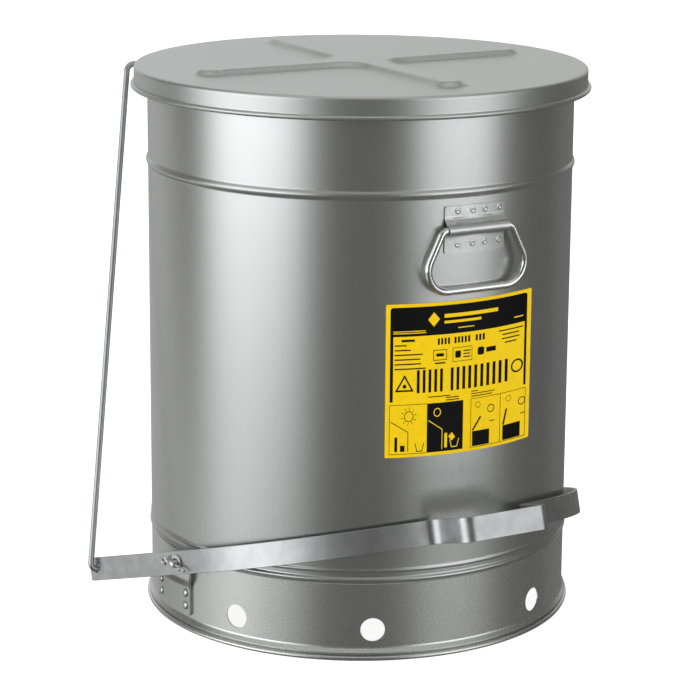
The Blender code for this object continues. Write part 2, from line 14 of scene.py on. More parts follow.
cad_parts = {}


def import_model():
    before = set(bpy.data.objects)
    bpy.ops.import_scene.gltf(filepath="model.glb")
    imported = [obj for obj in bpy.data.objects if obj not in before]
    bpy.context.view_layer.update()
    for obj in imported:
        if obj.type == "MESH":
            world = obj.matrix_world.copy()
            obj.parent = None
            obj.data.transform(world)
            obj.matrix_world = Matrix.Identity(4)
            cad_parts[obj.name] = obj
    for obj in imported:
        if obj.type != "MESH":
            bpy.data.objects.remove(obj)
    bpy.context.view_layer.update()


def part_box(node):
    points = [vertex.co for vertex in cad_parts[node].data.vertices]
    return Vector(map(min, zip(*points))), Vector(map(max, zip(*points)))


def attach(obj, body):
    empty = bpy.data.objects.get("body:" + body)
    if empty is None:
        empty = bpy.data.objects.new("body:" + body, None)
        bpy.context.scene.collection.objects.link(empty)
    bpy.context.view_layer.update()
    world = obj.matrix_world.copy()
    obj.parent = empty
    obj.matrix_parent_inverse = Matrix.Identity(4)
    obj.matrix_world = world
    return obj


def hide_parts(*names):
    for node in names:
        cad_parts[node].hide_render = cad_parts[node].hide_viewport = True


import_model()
shell_low, shell_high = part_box("body_shell")
MM = 0.001
FLOOR_Z = 3.6  # heights are counted from this far under the floor
AXIS = Vector((
    (shell_low.x + shell_high.x) / 2, (shell_low.y + shell_high.y) / 2, -FLOOR_Z * MM
))

GAP = 0.3  # clearance between neighbouring pieces
ROUND = 288  # segments round the can
SHARP = 35  # degrees over which an edge is shaded sharp

BODY_R = 228.5
WALL = 1.2
SEAM_Z = 86.6
RIM_Z = 575.5
BEAD_Z = 493.0
# Beads down the shell: height, how far they stand out, half their width, steps
SHELL_BEADS = ((BEAD_Z, 2.1, 5.0, 12), (SEAM_Z + 14, 0.8, 2.2, 8), (SEAM_Z + 4, 1.8, 3.2, 12))
SIDE_SEAM_ANGLE = 152
SIDE_SEAM_HALF = 6.5
BOTTOM_Z = 92.2
BOTTOM_FLANGE = 14.0
BOTTOM_RING = (150, 158, 166)  # radii of the pressed ring's start, middle and end
BOTTOM_RING_DEPTH = 0.9
FOOT_ROLL = (231.3, 6.25)  # centre of the rolled foot
VENT_R = 12.7
VENT_Z = 36.5
VENT_ANGLES = (25.5, 63.2, 116.8, 154.5)

LID_R = 242.7
LID_TOP_Z = 594.0
LID_BEAD_Z = 570.5
LID_BEAD_CENTRE = (243.75, LID_BEAD_Z + 2.6)
LID_BEAD_R = 2.6
LID_RINGS = 91  # circles of the flat top, LID_STEP apart
LID_STEP = 2.5
CROSS_HEIGHT = 5.0
CROSS_HALF_WIDTH = 10.5
CROSS_SLOPE = 8.0
CROSS_REACH = 180.0
CROSS_FILLET = 34.0

HINGE_Y = 254.0
HINGE_Z = 574.0
LEAF = 1.6
PIN_R = 2.3
KNUCKLE_R = PIN_R + GAP + LEAF / 2
HINGE_HALF = 55.0
LID_LEAF_HALF = 29.7
HINGE_FLANGE_Z = (514, 528, 539.5)  # the bracket's foot, middle and bend on the wall
HINGE_ARM_Z = 564
LEAF_Z = (591.2, 586.0, 581.2)  # the leaf's top, middle and bend on the skirt
LEAF_ARM_Y = 249.2
NOTCH = (12, 558, 590)  # cut out of the bracket for the leaf: half its depth, foot and top
HINGE_RIVET_ANGLE = 5.5
HINGE_RIVET_Z = 529.0
LEAF_RIVET_ANGLE = 4.7
LEAF_RIVET_Z = 586.0
HINGE_PIN_HEAD_R = 3.4
HINGE_PIN_HEAD = 2.3

LEVER_SLOPE = 17.2
LEVER_H = 25.4
LEVER_T = 3.2
END_CHAMFER = 1.5
LEVER_R = BODY_R + 12.0 - LEVER_T / 2
LEVER_CENTRE = {-1: 0.0, 1: 6.0}
LEVER_END = (280.4, 98.0)
LEVER_STUB_Y = -17.0
ARM_ANGLE = acos(LEVER_R / hypot(*LEVER_END)) - atan2(LEVER_END[1], LEVER_END[0])
PIVOT_Y = -35.0
PIVOT_Z = 80.83
PEDAL_Y = -294.4
PEDAL_X = (-42.5, 54.8)
PEDAL_ROOT_X = (-39.0, 64.0)
PEDAL_BENDS = [15, 13, 8, 12]
PEDAL_ROOT_CLEAR = 4.4  # degrees left for the bends at the pedal's roots
ARC_STEPS = 56
ROD_R = 3.2
ROD_FOOT = (-286.3, 87.0, 43.06)
ROD_HOOK = 23.0
ROD_HEAD = (-188.0, 188.0, 581.0)
ROD_TIP_X = -143.0
SLOT_R = 5.4
SLOT_LENGTH = 11.0
ROD_HOLE_R = ROD_R + 1.1
ROD_CAP_X = ROD_FOOT[0] + ROD_HOOK - 9.0

BRACKET_T = 2.5
BRACKET_R = BODY_R + GAP + BRACKET_T / 2
TAB_INSET = 7.3
PIVOT_PIN_R = 3.9
PIVOT_HOLE_R = 4.3
LOOSE_HOLE_R = 4.8
PIVOT_PIN_END = 10.6  # all measured outwards from the strap's middle
COTTER_AT = 6.9
COTTER_R = 1.4
COTTER_HOLE_R = 1.9
COTTER_EYE_R = 3.6
COTTER_EYE_AT = 9.5
WASHERS = (("inner", 8.0, 2.5), ("outer", 9.0, 1.6))  # outer radius and thickness
WASHER_EDGE = 0.35
RIVET_R = 2.4
RIVET_HEAD = (4.5, 2.1)  # radius and height
RIVET_TAIL_R = 3.7
BRACKET_Y = (-40, 37)  # edges of the part that hugs the base ring
TAB_Y = (PIVOT_Y - 9, PIVOT_Y + 16)  # edges of the part that stands out to the pin
BRACKET_RISE = (50, 14)  # where the one starts to turn into the other, and over what height
BRACKET_Z = (20, 93)
BRACKET_CORNERS = (3, 9)  # radii at its foot and top
BRACKET_RIVETS = ((81.9, 30.6), (81.9, 44.6), (95.9, 30.6), (95.9, 44.6))
RIVET_NAMES = ("front_low", "front_high", "rear_low", "rear_high")
COTTER_LEAN = 4.0

CLIP_T = 1.6
CLIP_HALF = 35.5
CLIP_CORNER = 2.6
CLIP_Z = (431.5, 480)
CLIP_ROLL = (60, -126)  # the angles between which the clip is rolled round the bail
WELD_Z = (474.5, 440.5)
WELD_X = (-21.0, -4.0, 10.5, 28.5)
HANDLE_X = {-1: 3.5, 1: 0.0}
BAIL_R = 4.0
BAIL_Y = BODY_R + 4.9
BAIL_Z = 456.0
BAIL_BOTTOM_Z = 393.7
BAIL_TOP_HALF = 40.5
BAIL_BOTTOM_HALF = 71.0
BAIL_BENDS = (7, 23, 23, 7)

LABEL_HALF_ANGLE = 22.2
LABEL_TURN = -0.7
LABEL_Z = (221.5, 382.0)
LABEL_W = radians(2 * LABEL_HALF_ANGLE) * BODY_R
LABEL_H = LABEL_Z[1] - LABEL_Z[0]
LABEL_T = 0.2
GROUND_LIFT, INK_LIFT, LIGHT_LIFT = 0.55, 0.66, 0.74  # how far each layer lies off the shell
PRINT_SHIFT = 0.37  # how far the print is drawn in to the left between the edges
PRINT_STEP = 4.0  # the print is cut into strips this wide before it is bent
ROUND_PRINT = 28  # corners of a printed disc or ring

# The camera, in metres from the can's centre line on the floor
CAMERA_PLACE = (-1.3688, -2.3991, 0.9781)
CAMERA_AHEAD = (0.4786, 0.8458, -0.2357)
CAMERA_ROLL = 0.41
CAMERA_LENS = 133.4
CAMERA_SHIFT_Y = -0.0391

# The stage, in metres
FLOOR_HALF = 30
BACKDROP_R = 22
BACKDROP_DEPTH = 40


# ---------------------------------------------------------------- mesh helpers


def linked(name, data):
    obj = bpy.data.objects.new(name, data)
    bpy.context.scene.collection.objects.link(obj)
    return obj


def object_from(name, bm):
    """Makes an object from a bmesh in millimetres, measured from the can's centre line."""
    for vert in bm.verts:
        vert.co = vert.co * MM + AXIS
    bmesh.ops.recalc_face_normals(bm, faces=bm.faces)
    mesh = bpy.data.meshes.new(name)
    bm.to_mesh(mesh)
    bm.free()
    return linked(name, mesh)


def shade(mesh, sharp):
    mesh.shade_smooth()
    mesh.set_sharp_from_angle(angle=radians(sharp))


def add_mesh(name, bm, finish, body, stands_for=None, bevel=0.0, sharp=SHARP):
    """Makes a piece from a bmesh in millimetres and lets it ride on its body.

    stands_for is the CAD node that it replaces, and bevel the width of its rounded edges.
    """
    obj = object_from(name, bm)
    shade(obj.data, sharp)
    obj.data.materials.append(finish)
    if bevel:
        edge = obj.modifiers.new("edge", "BEVEL")
        edge.width = bevel * MM
        edge.segments = 2
        edge.limit_method = "ANGLE"
        edge.angle_limit = radians(40)
        edge.harden_normals = True
    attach(obj, body)
    if stands_for:
        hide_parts(stands_for)
    return obj


def cut(obj, bm):
    """Takes the bmesh's shape out of the object and applies the cut."""
    cutter = object_from("cutter", bm)
    modifier = obj.modifiers.new("cut", "BOOLEAN")
    modifier.operation = "DIFFERENCE"
    modifier.solver = "EXACT"
    modifier.object = cutter
    kept = [m for m in obj.modifiers if m.type == "BEVEL"]
    for other in kept:
        other.show_viewport = False
    bpy.context.view_layer.update()
    graph = bpy.context.evaluated_depsgraph_get()
    made = bpy.data.meshes.new_from_object(obj.evaluated_get(graph))
    obj.modifiers.remove(modifier)
    obj.data = made
    shade(made, SHARP)
    for other in kept:
        other.show_viewport = True
    bpy.data.objects.remove(cutter, do_unlink=True)


def supported(profile, reach=0.7):
    """Adds a point close to both ends of every long run, to keep smooth shading in the bends."""
    points = []
    for a, b in zip(profile, profile[1:] + profile[:1]):
        points.append(a)
        length = hypot(b[0] - a[0], b[1] - a[1])
        if length > 6 * reach and a[0] > 0 and b[0] > 0:
            for share in (reach / length, 1 - reach / length):
                points.append((a[0] + (b[0] - a[0]) * share, a[1] + (b[1] - a[1]) * share))
    return points


def lathe(bm, profile, segments=ROUND, matrix=None, relief=None):
    """Turns (r, z) points about Z. An open profile starts and ends on the axis."""
    matrix = matrix or Matrix.Identity(4)
    closed = profile[0][0] > 0
    rings = []
    for r, z in profile:
        if r == 0:
            lift = relief(0, 0) if relief else 0
            rings.append([bm.verts.new(matrix @ Vector((0, 0, z + lift)))])
            continue
        ring_verts = []
        for i in range(segments):
            x, y = r * sin(2 * pi * i / segments), -r * cos(2 * pi * i / segments)
            lift = relief(x, y) if relief else 0
            ring_verts.append(bm.verts.new(matrix @ Vector((x, y, z + lift))))
        rings.append(ring_verts)
    pairs = list(zip(rings, rings[1:]))
    if closed:
        pairs.append((rings[-1], rings[0]))
    for a, b in pairs:
        for i in range(segments):
            j = (i + 1) % segments
            if len(a) == 1:
                bm.faces.new((a[0], b[i], b[j]))
            elif len(b) == 1:
                bm.faces.new((a[i], b[0], a[j]))
            else:
                bm.faces.new((a[i], b[i], b[j], a[j]))


def smooth(share):
    """Eases from 0 to 1 and stays there outside."""
    share = max(0.0, min(1.0, share))
    return share * share * (3 - 2 * share)


def arc(x, y, radius, start, end, steps, rise=None):
    """Points from one angle to another in degrees; rise is the second radius of an oval."""
    turns = [radians(start + (end - start) * k / steps) for k in range(steps + 1)]
    return [(x + radius * cos(a), y + (rise or radius) * sin(a)) for a in turns]


def grid_solid(bm, rows):
    """Joins rows of points, each the closed outline of one section, and caps both ends."""
    made = [[bm.verts.new(point) for point in row] for row in rows]
    count = len(made[0])
    for a, b in zip(made, made[1:]):
        for i in range(count):
            j = (i + 1) % count
            bm.faces.new((a[i], a[j], b[j], b[i]))
    bm.faces.new(made[0])
    bm.faces.new(reversed(made[-1]))


def fillet(corners, radii, steps=10):
    """A polyline whose inner corners are rounded by arcs of the given radii."""
    points = [Vector(corners[0])]
    for before, corner, after, radius in zip(corners, corners[1:], corners[2:], radii):
        corner = Vector(corner)
        back = (Vector(before) - corner).normalized()
        forward = (Vector(after) - corner).normalized()
        half = acos(max(-1, min(1, back.dot(forward)))) / 2
        if radius == 0 or half > pi / 2 - 0.01:
            points.append(corner)
            continue
        centre = corner + (back + forward).normalized() * (radius / sin(half))
        start = corner + back * (radius / tan(half)) - centre
        end = corner + forward * (radius / tan(half)) - centre
        turn = start.angle(end)
        for k in range(steps + 1):
            share = k / steps
            mix = start * sin((1 - share) * turn) + end * sin(share * turn)
            points.append(centre + mix / sin(turn))
    points.append(Vector(corners[-1]))
    return points


def rounded(profile, bends, steps=6):
    """fillet() for a list of (r, z) profile points; bends is {index: radius}."""
    radii = [bends.get(i, 0) for i in range(1, len(profile) - 1)]
    return [(p.x, p.y) for p in fillet(profile, radii, steps)]


def thicken(path, thickness):
    """The closed outline of a bent sheet from its middle line of (y, z) points."""
    left, right = [], []
    for i, point in enumerate(path):
        before, after = path[max(i - 1, 0)], path[min(i + 1, len(path) - 1)]
        along = Vector((after[0] - before[0], after[1] - before[1])).normalized()
        normal = Vector((-along.y, along.x)) * thickness / 2
        left.append(Vector(point[:2]) + normal)
        right.append(Vector(point[:2]) - normal)
    return left + right[::-1]


def wrapped_sheet(bm, path, thickness, half, steps, wall_r, side=1, middle=0.0, corner=0.0):
    """A bent sheet drawn as (y, z, hug) and swept along X. Where hug is 1 it follows a round wall.

    corner rounds the sheet's four corners by pulling in its first and last points.
    """
    hugs = [point[2] for point in path]
    hugs += hugs[::-1]
    stations = [half * (2 * i / steps - 1) for i in range(steps + 1)]
    if corner:
        ends = [half - corner * (1 - cos(pi * k / 12)) for k in range(6)]
        stations = [x for x in stations if abs(x) < half - corner]
        stations = sorted(stations + ends + [-x for x in ends])
    rows = []
    for x in stations:
        close = max(0.0, abs(x) - half + corner)
        inset = corner - sqrt(max(0.0, corner**2 - close**2))
        bent = [(path[0][0], path[0][1] - inset), *path[1:-1], (path[-1][0], path[-1][1] + inset)]
        x += middle
        drop = wall_r - sqrt(wall_r**2 - x**2)
        outline = zip(thicken(bent, thickness), hugs)
        rows.append([(x, side * (p.x - hug * drop), p.y) for p, hug in outline])
    grid_solid(bm, rows)


def along_x(x, y, z):
    """Stands a shape turned about Z along X instead, its foot at x."""
    return Matrix.Translation((x, y, z)) @ Matrix.Rotation(pi / 2, 4, "Y")


def pointing(foot, out):
    """Stands a shape turned about Z on a foot point, along out."""
    return Matrix.Translation(foot) @ out.to_track_quat("Z", "Y").to_matrix().to_4x4()


def radial(angle, r, z):
    """Stands a shape turned about Z out of the can's wall, at an angle from the front."""
    a = radians(angle)
    out = Vector((sin(a), -cos(a), 0))
    return pointing(out * r + Vector((0, 0, z)), out)


def disc(bm, matrix, radius, low, high, segments=48):
    lathe(bm, [(0, low), (radius, low), (radius, high), (0, high)], segments, matrix)


def tube(name, points, radius, finish, body, stands_for, cyclic=False, sides=10):
    """A round wire along points in millimetres."""
    curve = bpy.data.curves.new(name, "CURVE")
    curve.dimensions = "3D"
    curve.bevel_depth = radius * MM
    curve.bevel_resolution = sides
    curve.use_fill_caps = not cyclic
    spline = curve.splines.new("POLY")
    spline.points.add(len(points) - 1)
    for target, point in zip(spline.points, points):
        target.co = (*(Vector(point) * MM + AXIS), 1)
    spline.use_cyclic_u = cyclic
    spline.use_smooth = True
    curve.materials.append(finish)
    obj = linked(name, curve)
    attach(obj, body)
    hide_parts(stands_for)
    return obj


# ---------------------------------------------------------------- materials


class Nodes:
    """Short names for building a node tree."""

    def __init__(self, owner):
        owner.use_nodes = True
        self.tree = owner.node_tree

    def new(self, kind, **settings):
        node = self.tree.nodes.new("ShaderNode" + kind)
        for key, value in settings.items():
            setattr(node, key, value)
        return node

    def link(self, a, b):
        self.tree.links.new(a, b)

    def feed(self, socket, value):
        """Sets a number or colour, or links another node's output."""
        if isinstance(value, (tuple, float, int)):
            socket.default_value = (*value, 1.0) if isinstance(value, tuple) else value
        else:
            self.link(value, socket)

    def spread(self, value, low, high, start=0.3, end=0.7, kind="LINEAR"):
        """Maps a value from start..end to low..high."""
        node = self.new("MapRange", interpolation_type=kind)
        node.inputs["From Min"].default_value = start
        node.inputs["From Max"].default_value = end
        node.inputs["To Min"].default_value = low
        node.inputs["To Max"].default_value = high
        self.link(value, node.inputs["Value"])
        return node.outputs["Result"]

    def mix(self, factor, a, b):
        node = self.new("Mix", data_type="RGBA")
        for index, value in ((0, factor), (6, a), (7, b)):
            self.feed(node.inputs[index], value)
        return node.outputs[2]

    def calc(self, operation, a, b=0.0):
        node = self.new("Math", operation=operation)
        for index, value in enumerate((a, b)):
            self.feed(node.inputs[index], value)
        return node.outputs[0]


class Surface(Nodes):
    """One material's node tree, round its own shader."""

    def __init__(self, name):
        self.material = bpy.data.materials.new(name)
        super().__init__(self.material)
        self.shader = self.tree.nodes["Principled BSDF"]
        self.coords = self.new("TexCoord")

    def set(self, socket, value):
        self.feed(self.shader.inputs[socket], value)

    def noise(self, scale, detail=2.0, stretch=(1, 1, 1), rough=0.5):
        mapping = self.new("Mapping")
        mapping.inputs["Scale"].default_value = stretch
        self.link(self.coords.outputs["Object"], mapping.inputs["Vector"])
        noise = self.new("TexNoise")
        noise.inputs["Scale"].default_value = scale
        noise.inputs["Detail"].default_value = detail
        noise.inputs["Roughness"].default_value = rough
        self.link(mapping.outputs["Vector"], noise.inputs["Vector"])
        return noise.outputs["Fac"]

    def bump(self, height, strength, distance, before=None):
        node = self.new("Bump")
        node.inputs["Strength"].default_value = strength
        node.inputs["Distance"].default_value = distance
        self.link(height, node.inputs["Height"])
        if before:
            self.link(before, node.inputs["Normal"])
        return node.outputs["Normal"]


def toned(color, factor):
    return tuple(min(1, c * factor) for c in color)


def silver_paint(name, color, roughness, wear=0.0):
    """Sprayed metallic paint: fine flake, faint orange peel and slow cloudiness."""
    made = Surface(name)
    flake = made.noise(1500, 2.0, rough=0.7)
    cloud = made.noise(9, 3.0)
    peel = made.noise(240, 2.0)
    base = made.mix(made.spread(flake, 0, 1), toned(color, 0.90), toned(color, 1.07))
    base = made.mix(made.spread(cloud, 0, 0.35), base, toned(color, 0.94))
    if wear:
        edge = made.new("NewGeometry").outputs["Pointiness"]
        rub = made.calc("MULTIPLY", made.spread(edge, 0, wear, 0.515, 0.56),
                        made.spread(made.noise(70, 4.0), 0, 1, 0.4, 0.62))
        base = made.mix(rub, base, (0.80, 0.80, 0.79))
    made.set("Base Color", base)
    made.set("Roughness", made.spread(flake, roughness - 0.05, roughness + 0.06))
    made.set("Metallic", 0.96)
    made.set("Normal", made.bump(flake, 0.10, 0.00012, made.bump(peel, 0.10, 0.0003)))
    return made.material


def zinc(name, color, roughness):
    """Plated hardware: patchy passivation and fine drawing marks."""
    made = Surface(name)
    patch = made.noise(120, 4.0)
    fine = made.noise(900, 3.0)
    made.set("Base Color", made.mix(made.spread(patch, 0, 1), toned(color, 0.86), color))
    made.set("Roughness", made.spread(patch, roughness - 0.06, roughness + 0.10))
    made.set("Metallic", 1.0)
    made.set("Normal", made.bump(fine, 0.12, 0.0001))
    return made.material


def drawn_wire(name, color, roughness, stretch):
    """Bright drawn wire: scratches run along it."""
    made = Surface(name)
    lines = made.noise(500, 3.0, stretch)
    made.set("Base Color", made.mix(made.spread(lines, 0, 1), toned(color, 0.88), color))
    made.set("Roughness", made.spread(lines, roughness - 0.04, roughness + 0.08))
    made.set("Metallic", 1.0)
    made.set("Normal", made.bump(lines, 0.08, 0.0001))
    return made.material


def printed(name, color, roughness):
    """Vinyl or ink with a faint mottle."""
    made = Surface(name)
    mottle = made.noise(160, 3.0)
    made.set("Base Color", made.mix(made.spread(mottle, 0, 1), toned(color, 0.93), color))
    made.set("Roughness", made.spread(mottle, roughness - 0.04, roughness + 0.05))
    made.set("Normal", made.bump(made.noise(420, 2.0), 0.05, 0.0001))
    made.set("Specular IOR Level", 0.15)
    return made.material


BODY_PAINT = silver_paint("body_paint", (0.60, 0.61, 0.60), 0.31)
# Brighter copy of the body's silver paint for the foot ring: a painted highlight, standing in for
# the stronger sheen that the ring's wall catches.
SHEEN_BRIGHTENED_BASE_PAINT = silver_paint("base_paint_painted_sheen", (0.72, 0.73, 0.715), 0.28)
LID_PAINT = silver_paint("lid_paint", (0.60, 0.615, 0.60), 0.37)
PART_PAINT = silver_paint("part_paint", (0.62, 0.63, 0.62), 0.34, wear=0.5)
# Darker copy of the silver paint for the strap: painted shade that dims the reflections the strap
# catches. Its edge rub is real wear.
SHADE_DARKENED_STRAP_PAINT = silver_paint("strap_paint_painted_shade", (0.46, 0.47, 0.47), 0.36, wear=0.35)
ZINC = zinc("zinc_plate", (0.74, 0.74, 0.72), 0.27)
RIVET_ZINC = zinc("rivet_zinc", (0.70, 0.71, 0.70), 0.30)
BAIL_WIRE = drawn_wire("bail_wire", (0.80, 0.80, 0.79), 0.20, (0.05, 1, 1))
ROD_WIRE = drawn_wire("rod_wire", (0.60, 0.61, 0.61), 0.40, (1, 1, 0.04))
LABEL_YELLOW = printed("label_yellow", (0.98, 0.655, 0.0), 0.55)
LABEL_BLACK = printed("label_black", (0.003, 0.003, 0.004), 0.55)


# ---------------------------------------------------------------- can


def bead_points(z, height, half, steps):
    """Points down the outside of the shell over a half-round bead."""
    shares = [k / steps for k in range(steps + 1)]
    return [(BODY_R + height * sin(pi * share) ** 1.3, z + half * (1 - 2 * share))
            for share in shares]


def can_shell():
    outer = [(BODY_R - 0.6, RIM_Z), (BODY_R - 0.15, RIM_Z - 0.2), (BODY_R, RIM_Z - 0.7)]
    for bead in SHELL_BEADS:
        outer += bead_points(*bead)
    outer += [(BODY_R, SEAM_Z + GAP)]
    inner_r = BODY_R - WALL
    inner = [(inner_r, SEAM_Z + GAP), (inner_r, RIM_Z - 0.5), (inner_r + 0.2, RIM_Z)]
    bm = bmesh.new()
    lathe(bm, supported(outer + inner))
    add_mesh("can_shell", bm, BODY_PAINT, "can", "body_shell", sharp=50)

    bm = bmesh.new()
    rows = []
    section = ((-1, -0.2), (1, -0.2), (1, 0.12), (0.72, 0.42), (-0.72, 0.42), (-1, 0.12))
    for z in (SEAM_Z + 17, BEAD_Z - 7):
        row = []
        for share, height in section:
            a = radians(SIDE_SEAM_ANGLE) + SIDE_SEAM_HALF / BODY_R * share
            row.append(((BODY_R + height) * sin(a), -(BODY_R + height) * cos(a), z))
        rows.append(row)
    grid_solid(bm, rows)
    add_mesh("side_seam", bm, BODY_PAINT, "can", sharp=60)


def bottom_pan():
    out = BODY_R - WALL - GAP
    foot = BOTTOM_Z - BOTTOM_FLANGE
    start, middle, end = BOTTOM_RING
    upper, lower = (
        [(0, z), (start, z), (middle, z - BOTTOM_RING_DEPTH), (end, z), (edge, z)]
        for z, edge in ((BOTTOM_Z, out), (BOTTOM_Z - WALL, out - WALL))
    )
    profile = [*upper, (out, foot), (out - WALL, foot), *reversed(lower)]
    bends = {1: 12, 2: 4, 3: 12, 4: 3.0, 7: 1.8, 8: 12, 9: 4, 10: 12}
    bm = bmesh.new()
    lathe(bm, rounded(profile, bends, 5), 192)
    add_mesh("bottom_pan", bm, BODY_PAINT, "can", "raised_bottom")


def foot_ring():
    """The wall flares out over a groove, then rolls into the foot."""
    inner = BODY_R - WALL
    corners = [(BODY_R, 30.0), (BODY_R, 16.8), (232.3, 11.7), (229.2, 10.9)]
    flare = rounded(corners, {1: 3.5, 2: 0.4}, 6)
    roll = arc(*FOOT_ROLL, 2.6, 150, -88, 16, 2.65)
    under = [(230.3, FLOOR_Z), (228.9, 4.3), (228.2, 6.3), (228.3, 11.4), (227.9, 15.2)]
    under += [(inner, 17.9), (inner, SEAM_Z)]
    profile = [(BODY_R - 0.5, SEAM_Z), (BODY_R, SEAM_Z - 0.6), *flare, *roll, *under]
    bm = bmesh.new()
    lathe(bm, supported(profile))
    # The foot ring wears the brightened paint: its extra brightness is a painted highlight.
    ring_piece = add_mesh("foot_ring", bm, SHEEN_BRIGHTENED_BASE_PAINT, "can", "base_ring", sharp=45)
    holes = bmesh.new()
    for angle in VENT_ANGLES:
        for side in (-1, 1):
            disc(holes, radial(side * angle, BODY_R, VENT_Z), VENT_R, -12, 12, 72)
    cut(ring_piece, holes)


# ---------------------------------------------------------------- label


class Print:
    """Flat shapes in label millimetres, (0, 0) at its lower left, bent round the can at the end."""

    def __init__(self):
        self.bm = bmesh.new()

    def polygon(self, points):
        self.bm.faces.new([self.bm.verts.new((x, y, 0)) for x, y in points])

    def rect(self, x0, y0, x1, y1, corner=0.0):
        if not corner:
            self.polygon([(x0, y0), (x1, y0), (x1, y1), (x0, y1)])
            return
        points = []
        for cx, cy, start in ((x1, y0, -90), (x1, y1, 0), (x0, y1, 90), (x0, y0, 180)):
            cx += corner if cx == x0 else -corner
            cy += corner if cy == y0 else -corner
            points += arc(cx, cy, corner, start, start + 90, 4)
        self.polygon(points)

    def stroke(self, points, width, closed=False):
        points = [Vector(p) for p in points]
        pairs = list(zip(points, points[1:] + points[:1]))
        for a, b in pairs if closed else pairs[:-1]:
            along = (b - a).normalized() * width / 2
            across = Vector((-along.y, along.x))
            a, b = a - along, b + along
            self.polygon([a + across, a - across, b - across, b + across])

    def box(self, x0, y0, x1, y1, width):
        """A rectangle's outline."""
        self.stroke([(x0, y0), (x1, y0), (x1, y1), (x0, y1)], width, closed=True)

    def disc(self, x, y, radius):
        self.polygon(arc(x, y, radius, 0, 360, ROUND_PRINT)[:-1])

    def ring(self, x, y, radius, width):
        inner, outer = (
            arc(x, y, radius + half, 0, 360, ROUND_PRINT) for half in (-width / 2, width / 2)
        )
        for a, b, c, d in zip(inner, outer, outer[1:], inner[1:]):
            self.polygon([a, b, c, d])

    def lines(self, x, y, widths, height, pitch):
        """Short bars where small print would be."""
        for row, width in enumerate(widths):
            self.rect(x, y - row * pitch, x + width, y - row * pitch + height)

    def make(self, name, finish, lift, stands_for=None, thickness=0.0):
        """Cuts the print into strips, bends it round the can and makes a piece of it."""
        x = PRINT_STEP
        while x < LABEL_W:
            geometry = self.bm.verts[:] + self.bm.edges[:] + self.bm.faces[:]
            bmesh.ops.bisect_plane(self.bm, geom=geometry, plane_co=(x, 0, 0), plane_no=(1, 0, 0))
            x += PRINT_STEP
        if thickness:
            faces = bmesh.ops.extrude_face_region(self.bm, geom=self.bm.faces[:])["geom"]
            for vert in (item for item in faces if isinstance(item, bmesh.types.BMVert)):
                vert.co.z -= thickness
        for vert in self.bm.verts:
            share = min(max(vert.co.x / LABEL_W, 0), 1)
            share -= PRINT_SHIFT * share ** 1.6 * (1 - share) ** 0.9
            a = radians(LABEL_TURN + (share - 0.5) * 2 * LABEL_HALF_ANGLE)
            r = BODY_R + lift + vert.co.z
            vert.co = Vector((r * sin(a), -r * cos(a), LABEL_Z[0] + vert.co.y))
        obj = add_mesh(name, self.bm, finish, "can", stands_for)
        if not thickness:
            outward_faces(obj)


def outward_faces(obj):
    """Turns every face of a thin print away from the can's centre line."""
    bm = bmesh.new()
    bm.from_mesh(obj.data)
    for face in bm.faces:
        out = face.calc_center_median() - AXIS
        if face.normal.dot(Vector((out.x, out.y, 0))) < 0:
            face.normal_flip()
    bm.to_mesh(obj.data)
    bm.free()


def at(u, v):
    """A point of the label from shares of its width and height."""
    return u * LABEL_W, v * LABEL_H


def label_ground():
    ground = Print()
    ground.rect(0, 0, LABEL_W, LABEL_H, 1.5)
    ground.make("label_ground", LABEL_YELLOW, GROUND_LIFT, "label_plate", LABEL_T)


